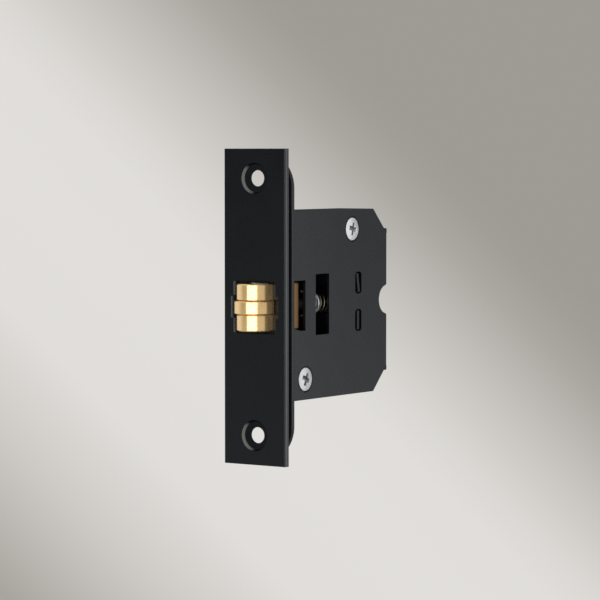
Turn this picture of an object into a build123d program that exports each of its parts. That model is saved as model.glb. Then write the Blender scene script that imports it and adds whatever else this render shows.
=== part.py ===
from build123d import *
import math
import os

# Adjustable roller catch for a door edge, in millimetres.
# The origin is the centre of the faceplate's front face. +X points to the case cover,
# +Y into the door and +Z up, so the roller stands out towards -Y.

# Faceplate and inner forend
plate_width = 25.0
plate_length = 107.5
faceplate_thickness = 2.4
window_edge_radius = 0.25
forend_length = 105.5
forend_boss_thickness = 1.8
forend_boss_inset = 1.2
forend_flange_thickness = 1.6
register_depth = 0.6
register_clearance = 0.1
plate_edge_radius = 0.3

# Fixing holes through both plates
fixing_end_distance = 10.05
fixing_hole_radius = 2.75
fixing_land = 0.45
countersink_radius = 5.35
countersink_lead_radius = 4.7
countersink_lead_depth = 1.1
forend_hole_radius = 5.4

# Bolt head, roller and their pin
head_width = 12.0
head_height = 16.0
head_rear = 17.7
head_chamfer = 0.35
roller_radius = 6.8
roller_height = 4.5
roller_chamfer = 0.3
roller_side_clearance = 0.15
roller_rear_clearance = 0.5
roller_pin_radius = 1.5
roller_pin_recess = 0.3
press_clearance = 0.02
running_clearance = 0.05

# Windows for the bolt head: loose in the faceplate, close in the inner forend
faceplate_window_margin = 2.5
faceplate_window_top_margin = 0.8
faceplate_notch_margin = 2.75
faceplate_notch_top_margin = 1.5
guide_clearance = 0.2
window_corner_radius = 0.5
window_corner_share = 0.4

# Case
case_thickness = 16.0
case_height = 65.0
case_rear = 71.0
case_chamfer = 7.9
sheet = 1.0
bend_radius = 0.9
cover_corner_inset = 0.53
cover_edge_radius = 0.25
corner_ear_drop = 7.1
corner_ear_reach = 1.7
corner_ear_nip = 0.3
rear_notch_radius = 5.1
rear_notch_flare = 0.65
tenon_height = 8.0
tenon_end_distance = 14.5
tenon_clearance = 0.05

# Side openings of the case
side_opening_front = 8.4
side_opening_rear = 19.15
side_opening_height = 17.3
side_opening_lip = 0.95
side_opening_lip_start = 12.2
side_opening_lip_end = 16.4
adjuster_opening_front = 25.45
adjuster_opening_rear = 33.8
adjuster_opening_height = 21.1
opening_corner_radius = 0.3

# Cover screws and their posts, placed from the case's top and bottom
upper_screw_y = 48.4
upper_screw_drop = 6.9
lower_screw_y = 19.05
lower_screw_rise = 7.1
screw_head_radius = 4.0
screw_head_rim = 0.8
screw_head_dome = 0.55
screw_recess_margin = 0.53
screw_recess_depth = 0.7
screw_thread_radius = 2.0
screw_length = 7.0
cross_length = 4.6
cross_width = 1.0
cross_depth = 1.1
post_radius = 3.4
post_tail_radius = 2.2
post_bore_depth = 9.0

# Stem and what it carries
thread_pitch = 0.8
thread_crest_radius = 2.45
thread_depth = 0.4
thread_flank_share = 0.45
thread_entry_gap = 2.0
stem_front = 11.2
shank_radius = 2.3
stem_rear = 59.6
stem_slot_width = 1.0
stem_slot_depth = 1.2
nut_front = 28.6
nut_length = 4.0
nut_radius = 4.6
nut_notches = 6
nut_notch_width = 1.4
nut_notch_depth = 0.8
nut_pin_radius = 0.75
nut_pin_recess = 0.2
washer_thickness = 0.8
thrust_washer_radius = 4.6
stop_washer_radius = 4.1
stop_gap = 0.05
clip_radius = 3.9
clip_thickness = 0.7
clip_groove_depth = 0.55
clip_mouth = 2.9
clip_scallop_radius = 0.8
clip_scallop_angles = (20, 160)

# Spring bracket
bracket_thickness = 1.3
bracket_web_front = 51.75
bracket_height = 22.0
bracket_flange_front = 38.6
bracket_clearance = 0.1
bracket_lip_half = 4.4
bracket_lip_depth = 1.7
tab_inner_end = 3.3
tab_outer_end = 9.9
tab_twist = 9.0
slot_width = 4.1
slot_end_margin = 0.6
slot_corner_radius = 1.3
rivet_radius = 1.5
rivet_head_radius = 2.6
rivet_head_height = 1.1
rivet_y = 42.3
rivet_z = 7.6

# Spring
wire_radius = 0.45
spring_outer_radius = 4.2
spring_turns = 8.0
spring_end_pitch = 1.36
spring_end_turns = 1.0
spring_start_turn = 0.3
spring_seat_gap = 0.1

# Places worked out from the sizes above
case_half = case_thickness / 2
inner_half = case_half - sheet
forend_front = faceplate_thickness
forend_ledge = forend_front + forend_boss_thickness
seat = forend_ledge + forend_flange_thickness
case_front = seat - register_depth
roller_slot = roller_height + 2 * roller_side_clearance
roller_space_rear = roller_radius + roller_rear_clearance
bore_bottom = stem_front - thread_entry_gap
washer_front = nut_front + nut_length
washer_rear = washer_front + washer_thickness
bracket_web_rear = bracket_web_front + bracket_thickness
stop_washer_front = bracket_web_rear + stop_gap
clip_front = stop_washer_front + washer_thickness
groove_radius = shank_radius - clip_groove_depth
tenon_centre = case_height / 2 - tenon_end_distance
screw_places = {
    "upper": (upper_screw_y, case_height / 2 - upper_screw_drop),
    "lower": (lower_screw_y, lower_screw_rise - case_height / 2),
}


def slab(outline, front, rear):
    """An outline drawn in X and Z, as a plate between two Y positions."""
    return extrude(Plane.XZ.offset(-front) * outline, amount=front - rear)


def side_slab(outline, low, high):
    """An outline drawn in Y and Z, as a plate between two X positions."""
    return extrude(Plane.YZ.offset(low) * outline, amount=high - low)


def turned(points):
    """A solid turned about the Y axis from (radius, y) points."""
    return revolve(make_face(Polyline(*points, close=True)), Axis.Y)


def turned_across(points):
    """A solid turned about the X axis from (x, radius) points."""
    return revolve(make_face(Polyline(*points, close=True)), Axis.X)


def side_rectangle(y_low, y_high, z_low, z_high, corner=0.0):
    """A rectangle in Y and Z, with rounded corners where a radius is given."""
    width, height = y_high - y_low, z_high - z_low
    shape = RectangleRounded(width, height, corner) if corner else Rectangle(width, height)
    return Pos((y_low + y_high) / 2, (z_low + z_high) / 2) * shape


def head_window(side_margin, top_margin, notch_margin, notch_top_margin):
    """The window's outline: room for the bolt head, and a notch for the roller on each side."""
    opening = Rectangle(head_width + 2 * side_margin, head_height + 2 * top_margin)
    notch = Rectangle(
        2 * roller_radius + 2 * notch_margin, roller_height + 2 * notch_top_margin
    )
    step = roller_radius + notch_margin - head_width / 2 - side_margin
    whole = opening + notch
    return fillet(whole.vertices(), min(window_corner_radius, window_corner_share * step))


def fixing_places():
    """The two fixing holes' positions."""
    return [Pos(0, 0, side * (plate_length / 2 - fixing_end_distance)) for side in (-1, 1)]


def make_faceplate():
    """The outer plate: square ends, loose window, countersunk fixing holes."""
    plate = slab(Rectangle(plate_width, plate_length), 0, faceplate_thickness)
    plate = fillet(plate.faces().sort_by(Axis.Y)[0].edges(), plate_edge_radius)
    window = head_window(
        faceplate_window_margin,
        faceplate_window_top_margin,
        faceplate_notch_margin,
        faceplate_notch_top_margin,
    )
    plate -= slab(window, 0, faceplate_thickness)
    front = plate.faces().sort_by(Axis.Y)[0]
    plate = fillet(front.inner_wires()[0].edges(), window_edge_radius)
    land_front = faceplate_thickness - fixing_land
    countersink = turned(
        [
            (0, 0),
            (countersink_radius, 0),
            (countersink_lead_radius, countersink_lead_depth),
            (fixing_hole_radius, land_front),
            (fixing_hole_radius, faceplate_thickness),
            (0, faceplate_thickness),
        ]
    )
    for place in fixing_places():
        plate -= place * countersink
    return plate


def make_inner_forend():
    """The plate behind, with round ends. Its boss is set in, which leaves a ledge under the faceplate."""
    boss = SlotOverall(
        forend_length - 2 * forend_boss_inset,
        plate_width - 2 * forend_boss_inset,
        rotation=90,
    )
    flange = SlotOverall(forend_length, plate_width, rotation=90)
    forend = slab(boss, forend_front, forend_ledge) + slab(flange, forend_ledge, seat)
    guide = head_window(
        guide_clearance, guide_clearance, guide_clearance, guide_clearance
    )
    forend -= slab(guide, forend_front, seat)
    register = Rectangle(
        case_thickness + 2 * register_clearance, case_height + 2 * register_clearance
    )
    forend -= slab(register, case_front, seat)
    for place in fixing_places():
        hole = turned(
            [
                (0, forend_front),
                (forend_hole_radius, forend_front),
                (forend_hole_radius, seat),
                (0, seat),
            ]
        )
        forend -= place * hole
    slot = Rectangle(sheet + 2 * tenon_clearance, tenon_height + 2 * tenon_clearance)
    for side in (-1, 1):
        for end in (-1, 1):
            centre = Pos(side * (case_half - sheet / 2), end * tenon_centre)
            forend -= slab(centre * slot, forend_front, case_front)
    return forend


def case_outline(inset, corner_inset=0.0):
    """The case's side outline, drawn in by the sheet or left whole, with its rear corners cut at 45 degrees."""
    rear = case_rear - inset
    top = case_height / 2 - inset
    corner = case_chamfer - inset * (2 - math.sqrt(2)) + corner_inset * math.sqrt(2)
    return make_face(
        Polyline(
            (case_front, -top),
            (rear - corner, -top),
            (rear, -top + corner),
            (rear, top - corner),
            (rear - corner, top),
            (case_front, top),
            close=True,
        )
    )


def rear_notch():
    """The round notch in the rear edge on the stem's axis, flared at its mouth."""
    mouth = rear_notch_radius + rear_notch_flare
    inner = math.sqrt(rear_notch_radius**2 - rear_notch_flare**2)
    flare = make_face(
        Polyline(
            (case_rear, -mouth),
            (case_rear, mouth),
            (case_rear - rear_notch_flare, inner),
            (case_rear - rear_notch_flare, -inner),
            close=True,
        )
    )
    return Pos(case_rear, 0) * Circle(rear_notch_radius) + flare


def corner_ears(low, high):
    """The rear edge's two ends, which stand a little out of the sloping corners."""
    end = case_height / 2 - corner_ear_drop
    ears = []
    for side in (-1, 1):
        outline = Polyline(
            (case_rear - corner_ear_reach, side * end),
            (case_rear - corner_ear_nip, side * end),
            (case_rear, side * (end - corner_ear_nip)),
            (case_rear, side * (end - corner_ear_reach)),
            close=True,
        )
        ears.append(side_slab(make_face(outline), low, high))
    return ears[0] + ears[1]


def side_opening():
    """The opening beside the bolt head. Its lower front corner is raised."""
    half = side_opening_height / 2
    return make_face(
        Polyline(
            (side_opening_front, half),
            (side_opening_rear, half),
            (side_opening_rear, -half),
            (side_opening_lip_end, -half),
            (side_opening_lip_start, -half + side_opening_lip),
            (side_opening_front, -half + side_opening_lip),
            close=True,
        )
    )


def tenons(low, high):
    """The two tenons on the front edge of one side sheet."""
    pieces = [
        side_slab(
            side_rectangle(
                forend_front,
                case_front,
                end * tenon_centre - tenon_height / 2,
                end * tenon_centre + tenon_height / 2,
            ),
            low,
            high,
        )
        for end in (-1, 1)
    ]
    return pieces[0] + pieces[1]


def make_case_body():
    """The folded tray: back, top, bottom, sloping and rear walls."""
    block = side_slab(case_outline(0), -case_half, inner_half)
    back_edges = block.edges().group_by(Axis.X)[0].sort_by(Axis.Y)[1:]
    block = fillet(back_edges, bend_radius)
    hollow = side_slab(case_outline(sheet), -inner_half, inner_half)
    body = block - hollow
    body += corner_ears(bend_radius - case_half, inner_half)
    body -= side_slab(rear_notch(), -case_half, inner_half)
    body -= side_slab(side_opening(), -case_half, -inner_half)
    for y, z in screw_places.values():
        tail = Pos(y, z) * Circle(post_tail_radius + press_clearance)
        body -= side_slab(tail, -case_half, -inner_half)
    for side in (-1, 1):
        hole = Pos(rivet_y, side * rivet_z) * Circle(rivet_radius + press_clearance)
        body -= side_slab(hole, -case_half, -inner_half)
    return body + tenons(-case_half, -inner_half)


def tab_slots():
    """The two slots in the cover that take the bracket's tabs."""
    centre = bracket_web_front + bracket_thickness / 2
    shapes = [
        side_rectangle(
            centre - slot_width / 2,
            centre + slot_width / 2,
            min(side * tab_inner_end, side * tab_outer_end) - slot_end_margin,
            max(side * tab_inner_end, side * tab_outer_end) + slot_end_margin,
            slot_corner_radius,
        )
        for side in (-1, 1)
    ]
    return shapes[0] + shapes[1]


def make_case_cover():
    """The flat cover, screwed to the posts and hooked into the inner forend by tenons."""
    cover = side_slab(case_outline(0, cover_corner_inset), inner_half, case_half)
    outer_edges = cover.edges().group_by(Axis.X)[-1].sort_by(Axis.Y)[1:]
    cover = fillet(outer_edges, cover_edge_radius)
    cover += corner_ears(inner_half, case_half)
    adjuster = side_rectangle(
        adjuster_opening_front,
        adjuster_opening_rear,
        -adjuster_opening_height / 2,
        adjuster_opening_height / 2,
        opening_corner_radius,
    )
    for shape in (side_opening(), adjuster, tab_slots(), rear_notch()):
        cover -= side_slab(shape, inner_half, case_half)
    for y, z in screw_places.values():
        recess = Pos(y, z) * Circle(screw_head_radius + screw_recess_margin)
        hole = Pos(y, z) * Circle(screw_thread_radius + running_clearance)
        cover -= side_slab(recess, case_half - screw_recess_depth, case_half)
        cover -= side_slab(hole, inner_half, case_half)
    return cover + tenons(inner_half, case_half)


def make_cover_screw(place):
    """A low pan-head screw with a domed head and a cross recess."""
    seat_x = case_half - screw_recess_depth
    rim_x = seat_x + screw_head_rim
    crown_x = rim_x + screw_head_dome
    end_x = seat_x - screw_length
    dome = (screw_head_radius**2 + screw_head_dome**2) / (2 * screw_head_dome)
    half_angle = math.asin(screw_head_radius / dome) / 2
    dome_middle = (
        crown_x - dome * (1 - math.cos(half_angle)),
        dome * math.sin(half_angle),
    )
    outline = Polyline(
        (crown_x, 0),
        (end_x, 0),
        (end_x, screw_thread_radius / 2),
        (end_x + screw_thread_radius / 2, screw_thread_radius),
        (seat_x, screw_thread_radius),
        (seat_x, screw_head_radius),
        (rim_x, screw_head_radius),
    )
    outline += ThreePointArc((rim_x, screw_head_radius), dome_middle, (crown_x, 0))
    screw = revolve(make_face(outline), Axis.X)
    for size in ((cross_length, cross_width), (cross_width, cross_length)):
        screw -= side_slab(Rectangle(*size), crown_x - cross_depth, crown_x)
    return Pos(0, place[0], place[1]) * screw


def make_screw_post(place):
    """A post riveted into the back wall, bored for the cover screw."""
    bore_radius = screw_thread_radius + press_clearance
    post = turned_across(
        [
            (-case_half, 0),
            (-case_half, post_tail_radius),
            (-inner_half, post_tail_radius),
            (-inner_half, post_radius),
            (inner_half, post_radius),
            (inner_half, bore_radius),
            (inner_half - post_bore_depth, bore_radius),
            (inner_half - post_bore_depth, 0),
        ]
    )
    return Pos(0, place[0], place[1]) * post


def make_spring_bracket():
    """The bent bracket that the spring pushes on. Two twisted tabs lock it in the cover.

    A short lip under the cover stiffens the web and closes the inner ends of the tab slots.
    """
    flange_front_face = bracket_thickness - inner_half
    web_edge = inner_half - bracket_clearance
    half = bracket_height / 2
    web = side_slab(
        side_rectangle(bracket_web_front, bracket_web_rear, -half, half), -inner_half, web_edge
    )
    flange = side_slab(
        side_rectangle(bracket_flange_front, bracket_web_rear, -half, half),
        -inner_half,
        flange_front_face,
    )
    lip = side_slab(
        side_rectangle(
            bracket_web_rear, bracket_web_rear + bracket_lip_depth, -bracket_lip_half, bracket_lip_half
        ),
        web_edge - bracket_thickness,
        web_edge,
    )
    bracket = web + flange + lip
    centre_y = bracket_web_front + bracket_thickness / 2
    centre_z = (tab_inner_end + tab_outer_end) / 2
    tab = Rectangle(bracket_thickness, tab_outer_end - tab_inner_end)
    for side, twist in ((1, tab_twist), (-1, 0)):
        placed = Pos(centre_y, side * centre_z) * Rot(0, 0, twist) * tab
        bracket += side_slab(placed, web_edge - sheet, case_half - bracket_clearance)
    bore = Circle(shank_radius + running_clearance)
    bracket -= slab(bore, bracket_web_front, bracket_web_rear)
    for side in (-1, 1):
        hole = Pos(rivet_y, side * rivet_z) * Circle(rivet_radius + press_clearance)
        bracket -= side_slab(hole, -inner_half, flange_front_face)
    return bracket


def make_bracket_rivets():
    """Two rivets through the bracket's flange and the back wall, flush outside."""
    head_x = bracket_thickness - inner_half
    rivet = turned_across(
        [
            (-case_half, 0),
            (-case_half, rivet_radius),
            (head_x, rivet_radius),
            (head_x, rivet_head_radius),
            (head_x + rivet_head_height / 2, rivet_head_radius),
            (head_x + rivet_head_height, rivet_head_radius / 2),
            (head_x + rivet_head_height, 0),
        ]
    )
    return Compound([Pos(0, rivet_y, side * rivet_z) * rivet for side in (-1, 1)])


def make_bolt_head():
    """The brass head: a round-nosed block, slotted for the roller and bored for the stem."""
    half_width = head_width / 2
    profile = Circle(half_width) + Pos(0, head_rear / 2) * Rectangle(head_width, head_rear)
    cheek_height = (head_height - roller_slot) / 2
    cheek = extrude(profile, amount=cheek_height)
    rims = cheek.edges().group_by(Axis.Z)[0] + cheek.edges().group_by(Axis.Z)[-1]
    cheek = chamfer(rims, head_chamfer)
    heel_length = head_rear - roller_space_rear
    heel_place = Pos(0, (head_rear + roller_space_rear) / 2, 0)
    heel = heel_place * Box(head_width, heel_length, head_height - 2 * head_chamfer)
    head = Pos(0, 0, roller_slot / 2) * cheek
    head += Pos(0, 0, -roller_slot / 2 - cheek_height) * cheek
    head += heel
    pin_hole = Cylinder(roller_pin_radius + press_clearance, head_height)
    bore = turned(
        [
            (0, bore_bottom),
            (thread_crest_radius + running_clearance, bore_bottom),
            (thread_crest_radius + running_clearance, head_rear),
            (0, head_rear),
        ]
    )
    return head - pin_hole - bore


def make_roller():
    """The brass ring that runs on the pin and stands proud of the head."""
    ring = Cylinder(roller_radius, roller_height)
    rims = ring.edges().group_by(Axis.Z)[0] + ring.edges().group_by(Axis.Z)[-1]
    ring = chamfer(rims, roller_chamfer)
    return ring - Cylinder(roller_pin_radius + running_clearance, roller_height)


def make_roller_pin():
    """The upright steel pin, a little below the head's ends."""
    return Cylinder(roller_pin_radius, head_height - 2 * roller_pin_recess)


def thread_points(start, end):
    """The outline of the thread as rings one pitch apart, as (radius, y) points."""
    root = thread_crest_radius - thread_depth
    flank = thread_flank_share * thread_pitch
    points = []
    for ring in range(int((end - start) / thread_pitch)):
        y = start + ring * thread_pitch
        points += [
            (root, y),
            (thread_crest_radius, y + flank),
            (thread_crest_radius, y + thread_pitch - flank),
        ]
    return points + [(root, points[-1][1] + flank)]


def make_stem():
    """The stem: thread in front, plain shank behind with a clip groove and a driver slot."""
    root = thread_crest_radius - thread_depth
    clip_rear = clip_front + clip_thickness
    stem = turned(
        [(0, stem_front)]
        + thread_points(stem_front, nut_front)
        + [
            (root, nut_front),
            (shank_radius, nut_front),
            (shank_radius, clip_front),
            (groove_radius, clip_front),
            (groove_radius, clip_rear),
            (shank_radius, clip_rear),
            (shank_radius, stem_rear - shank_radius / 4),
            (shank_radius * 3 / 4, stem_rear),
            (0, stem_rear),
        ]
    )
    slot = Rectangle(stem_slot_width, 2 * shank_radius)
    stem -= slab(slot, stem_rear - stem_slot_depth, stem_rear)
    pin_place = Pos(0, nut_front + nut_length / 2, 0)
    return stem - pin_place * Cylinder(nut_pin_radius + press_clearance, 2 * shank_radius)


def make_adjusting_nut():
    """The round nut, notched along its rim so that a blade through the opening can turn it."""
    outline = Circle(nut_radius) - Circle(shank_radius + press_clearance)
    for step in range(nut_notches):
        angle = (step + 0.5) * 360 / nut_notches
        notch = Rectangle(2 * nut_notch_depth, nut_notch_width)
        outline -= Rot(0, 0, angle) * (Pos(nut_radius, 0) * notch)
    nut = slab(outline, nut_front, washer_front)
    pin_place = Pos(0, nut_front + nut_length / 2, 0)
    return nut - pin_place * Cylinder(nut_pin_radius + press_clearance, 2 * nut_radius)


def make_nut_pin():
    """The pin that locks the nut to the stem."""
    length = 2 * (nut_radius - nut_pin_recess)
    return Pos(0, nut_front + nut_length / 2, 0) * Cylinder(nut_pin_radius, length)


def make_washer(front, radius):
    """A flat washer on the shank."""
    ring = Circle(radius) - Circle(shank_radius + running_clearance)
    return slab(ring, front, front + washer_thickness)


def make_retaining_clip():
    """The open clip in the stem's groove, which holds the stop washer."""
    ring = Circle(clip_radius) - Circle(groove_radius + press_clearance)
    ring -= Pos(0, -clip_radius / 2) * Rectangle(clip_mouth, clip_radius)
    for angle in clip_scallop_angles:
        ring -= Rot(0, 0, angle) * (Pos(groove_radius, 0) * Circle(clip_scallop_radius))
    return slab(ring, clip_front, clip_front + clip_thickness)


def spring_rise(turn):
    """How far along the spring's axis the wire has gone after this many turns."""
    length = bracket_web_front - washer_rear - 2 * (wire_radius + spring_seat_gap)
    open_turns = spring_turns - 2 * spring_end_turns
    open_pitch = (length - spring_end_turns * spring_end_pitch) / (
        spring_turns - spring_end_turns
    )
    swell = open_pitch - spring_end_pitch

    def ramp(x):
        """The rise that is added while the pitch grows from the end pitch to the open pitch."""
        return swell * (x / 2 - spring_end_turns * math.sin(math.pi * x / spring_end_turns) / (2 * math.pi))

    if turn < spring_end_turns:
        return turn * spring_end_pitch + ramp(turn)
    if turn <= spring_end_turns + open_turns:
        first = spring_end_turns * spring_end_pitch + ramp(spring_end_turns)
        return first + (turn - spring_end_turns) * open_pitch
    return length - spring_rise(spring_turns - turn)


def spring_point(turn):
    """A point on the wire's centre line."""
    radius = spring_outer_radius - wire_radius
    angle = 2 * math.pi * (turn + spring_start_turn)
    y = washer_rear + spring_seat_gap + wire_radius + spring_rise(turn)
    return Vector(radius * math.cos(angle), y, radius * math.sin(angle))


def spring_direction(turn):
    """The wire's direction at a point."""
    step = 1e-4
    before = max(turn - step, 0)
    after = min(turn + step, spring_turns)
    return (spring_point(after) - spring_point(before)).normalized()


def biarc(start, start_direction, end, end_direction):
    """Two arcs that join two points and leave along the two directions."""
    chord = end - start
    total = start_direction + end_direction
    bend = 2 * (1 - start_direction.dot(end_direction))
    reach = chord.dot(total)
    arm = (math.sqrt(reach**2 + bend * chord.dot(chord)) - reach) / bend
    first_corner = start + start_direction * arm
    last_corner = end - end_direction * arm
    joint = (first_corner + last_corner) * 0.5
    middle = (last_corner - first_corner).normalized()
    return [
        Edge.make_tangent_arc(start, start_direction, joint),
        Edge.make_tangent_arc(joint, middle, end),
    ]


def spring_gap():
    """The least gap between one turn and another, measured on points of the centre line."""
    per_turn = 48
    points = [spring_point(i / per_turn) for i in range(int(spring_turns * per_turn) + 1)]
    least = min(
        (points[i] - points[j]).length
        for i in range(len(points))
        for j in range(i + per_turn * 3 // 4, min(i + per_turn * 5 // 4, len(points)))
    )
    return least - 2 * wire_radius


def make_spring():
    """The compression spring, one wire along biarcs of a quarter turn with closed ends."""
    quarters = int(spring_turns * 4)
    edges = []
    for i in range(quarters):
        a, b = i / 4, (i + 1) / 4
        edges += biarc(
            spring_point(a), spring_direction(a), spring_point(b), spring_direction(b)
        )
    path = Wire(edges)
    section = Plane(origin=spring_point(0), z_dir=spring_direction(0)) * Circle(wire_radius)
    return sweep(section, path=path)


nodes = {
    "faceplate": make_faceplate(),
    "inner_forend": make_inner_forend(),
    "case_body": make_case_body(),
    "case_cover": make_case_cover(),
    "spring_bracket": make_spring_bracket(),
    "bracket_rivets": make_bracket_rivets(),
    "bolt_head": make_bolt_head(),
    "roller": make_roller(),
    "roller_pin": make_roller_pin(),
    "stem": make_stem(),
    "adjusting_nut": make_adjusting_nut(),
    "nut_pin": make_nut_pin(),
    "thrust_washer": make_washer(washer_front, thrust_washer_radius),
    "stop_washer": make_washer(stop_washer_front, stop_washer_radius),
    "retaining_clip": make_retaining_clip(),
    "spring": make_spring(),
}
for name, place in screw_places.items():
    nodes[f"cover_screw_{name}"] = make_cover_screw(place)
    nodes[f"screw_post_{name}"] = make_screw_post(place)

os.makedirs("parts", exist_ok=True)
for name, piece in nodes.items():
    export_step(piece, os.path.join("parts", f"{name}.step"))

print(f"least gap between the spring's turns: {spring_gap():.2f} mm")
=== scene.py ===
import logging
import math
from dataclasses import dataclass
from enum import Enum
from typing import Any, Callable

import bmesh
import bpy
from mathutils import Matrix, Vector


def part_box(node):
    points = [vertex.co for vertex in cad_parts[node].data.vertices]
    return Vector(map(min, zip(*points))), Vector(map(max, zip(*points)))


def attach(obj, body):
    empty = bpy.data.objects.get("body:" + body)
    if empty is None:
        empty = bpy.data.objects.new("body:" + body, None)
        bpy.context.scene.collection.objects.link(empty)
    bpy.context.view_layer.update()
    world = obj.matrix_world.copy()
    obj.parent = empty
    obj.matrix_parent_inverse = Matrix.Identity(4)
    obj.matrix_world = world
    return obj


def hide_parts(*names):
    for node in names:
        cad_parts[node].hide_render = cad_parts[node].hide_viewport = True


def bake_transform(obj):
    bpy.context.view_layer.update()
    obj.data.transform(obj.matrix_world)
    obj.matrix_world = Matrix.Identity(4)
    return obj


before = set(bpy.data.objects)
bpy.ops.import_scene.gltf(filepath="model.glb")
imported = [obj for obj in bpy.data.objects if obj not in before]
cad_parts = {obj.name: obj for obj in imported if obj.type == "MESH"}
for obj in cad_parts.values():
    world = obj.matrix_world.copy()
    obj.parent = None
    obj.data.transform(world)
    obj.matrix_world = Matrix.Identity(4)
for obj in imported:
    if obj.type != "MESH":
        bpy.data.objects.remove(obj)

LOG = logging.getLogger("roller_catch")
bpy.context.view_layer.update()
MM = 0.001
TURN = 2 * math.pi
NOISE_MIDDLE = 0.5

Colour = tuple[float, float, float]
Place = tuple[float, float, float]
Pair = tuple[float, float]
Tones = tuple[Colour, Colour]
Socket = bpy.types.NodeSocket
Piece = bpy.types.Object

BRIGHT_ZINC: Tones = ((0.66, 0.69, 0.71), (0.44, 0.45, 0.46))


class Term:
    """A number that varies over a surface: one socket whose arithmetic adds Math nodes."""

    def __init__(self, graph: "Graph", socket: Socket) -> None:
        """Wrap one output socket of a graph."""
        self.graph = graph
        self.socket = socket

    def __add__(self, other: "Term | float") -> "Term":
        """Add a number or another term."""
        return self.graph.math("ADD", self, other)

    __radd__ = __add__

    def __sub__(self, other: "Term | float") -> "Term":
        """Take a number or another term away."""
        return self.graph.math("SUBTRACT", self, other)

    def __rsub__(self, other: float) -> "Term":
        """Take this term away from a number."""
        return self.graph.math("SUBTRACT", other, self)

    def __mul__(self, other: "Term | float") -> "Term":
        """Multiply by a number or another term."""
        return self.graph.math("MULTIPLY", self, other)

    __rmul__ = __mul__

    def __truediv__(self, other: "Term | float") -> "Term":
        """Divide by a number or another term."""
        return self.graph.math("DIVIDE", self, other)

    def least(self, other: "Term | float") -> "Term":
        """Keep the smaller of two values."""
        return self.graph.math("MINIMUM", self, other)

    def most(self, other: "Term | float") -> "Term":
        """Keep the larger of two values."""
        return self.graph.math("MAXIMUM", self, other)

    def step(self, start: float, end: float) -> "Term":
        """Rise smoothly from 0 at one value to 1 at another.

        Args:
            start: The value that gives 0.
            end: The value that gives 1. It may be below start.

        Returns:
            The smooth step.
        """
        low, high = min(start, end), max(start, end)
        inputs = {"Value": self, "From Min": low, "From Max": high}
        made = self.graph.node("ShaderNodeMapRange", inputs, interpolation_type="SMOOTHSTEP")
        rise = Term(self.graph, made.outputs["Result"])
        return rise if start < end else 1 - rise


class Graph:
    """The node tree of one material or of the world."""

    def __init__(self, tree: bpy.types.NodeTree) -> None:
        """Start with an empty tree."""
        tree.nodes.clear()
        self.tree = tree

    def node(self, kind: str, inputs: dict[str | int, Any] | None = None, **settings: str) -> bpy.types.Node:
        """Add one node.

        Args:
            kind: The node's type.
            inputs: A term, a socket or a plain value for each input, by its name or number.
            settings: Its properties, set first.

        Returns:
            The new node.
        """
        made = self.tree.nodes.new(kind)
        for name, value in settings.items():
            setattr(made, name, value)
        self.wire(made, inputs or {})
        return made

    def wire(self, node: bpy.types.Node, inputs: dict[str | int, Any]) -> None:
        """Fill a node's inputs.

        Args:
            node: The node.
            inputs: A term, a socket or a plain value for each input, by its name or number.
        """
        for name, value in inputs.items():
            socket = node.inputs[name]
            if isinstance(value, Term):
                value = value.socket
            if isinstance(value, Socket):
                self.tree.links.new(value, socket)
            elif socket.type == "RGBA":
                socket.default_value = (*value, 1.0)
            else:
                socket.default_value = value

    def math(self, operation: str, *values: "Term | float") -> Term:
        """Work out one operation on one or two values."""
        made = self.node("ShaderNodeMath", dict(enumerate(values)), operation=operation)
        return Term(self, made.outputs[0])

    def vector(self, operation: str, *values: Any) -> Socket:
        """Work out one vector operation that gives a vector."""
        made = self.node("ShaderNodeVectorMath", dict(enumerate(values)), operation=operation)
        return made.outputs["Vector"]

    def measure(self, operation: str, *values: Any) -> Term:
        """Work out one vector operation that gives a number, such as a dot product or a length."""
        made = self.node("ShaderNodeVectorMath", dict(enumerate(values)), operation=operation)
        return Term(self, made.outputs["Value"])

    def position(self) -> Socket:
        """The place on the surface in the piece's own coordinates, in metres."""
        return self.node("ShaderNodeTexCoord").outputs["Object"]

    def parts_of(self, vector: Socket) -> tuple[Term, Term, Term]:
        """Take a vector's X, Y and Z apart."""
        made = self.node("ShaderNodeSeparateXYZ", {"Vector": vector})
        return tuple(Term(self, output) for output in made.outputs)

    def noise(self, vector: Socket, scale: float, detail: float, roughness: float = 0.5) -> Term:
        """Smooth noise from 0 to 1.

        Args:
            vector: Where it is read.
            scale: How many features there are to a metre.
            detail: How many finer octaves are added.
            roughness: How strong the finer octaves are.

        Returns:
            The noise's value.
        """
        inputs = {"Vector": vector, "Scale": scale, "Detail": detail, "Roughness": roughness}
        return Term(self, self.node("ShaderNodeTexNoise", inputs).outputs["Fac"])

    def blend(self, share: "Term | float", first: Any, second: Any) -> Socket:
        """Mix two colours.

        Args:
            share: How much of the second colour shows.
            first: The first colour.
            second: The second colour.

        Returns:
            The mixed colour.
        """
        made = self.node("ShaderNodeMix", {0: share, 6: first, 7: second}, data_type="RGBA")
        return made.outputs[2]

    def bump(self, height: Term, depth: float) -> Socket:
        """Turn a height into a normal. A height of 1 stands for the depth, in metres."""
        made = self.node("ShaderNodeBump", {"Height": height, "Distance": depth})
        return made.outputs["Normal"]

    def ramp(self, share: "Term | Socket", stops: list[Pair]) -> Socket:
        """Read a grey off a ramp.

        Args:
            share: Where it is read, from 0 to 1.
            stops: The ramp's (place, brightness) pairs, in rising order.

        Returns:
            The grey.
        """
        made = self.node("ShaderNodeValToRGB", {"Fac": share})
        elements = made.color_ramp.elements
        while len(elements) < len(stops):
            elements.new(1.0)
        for element, (place, tone) in zip(elements, stops):
            element.position = place
            element.color = (tone, tone, tone, 1.0)
        return made.outputs["Color"]


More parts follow.
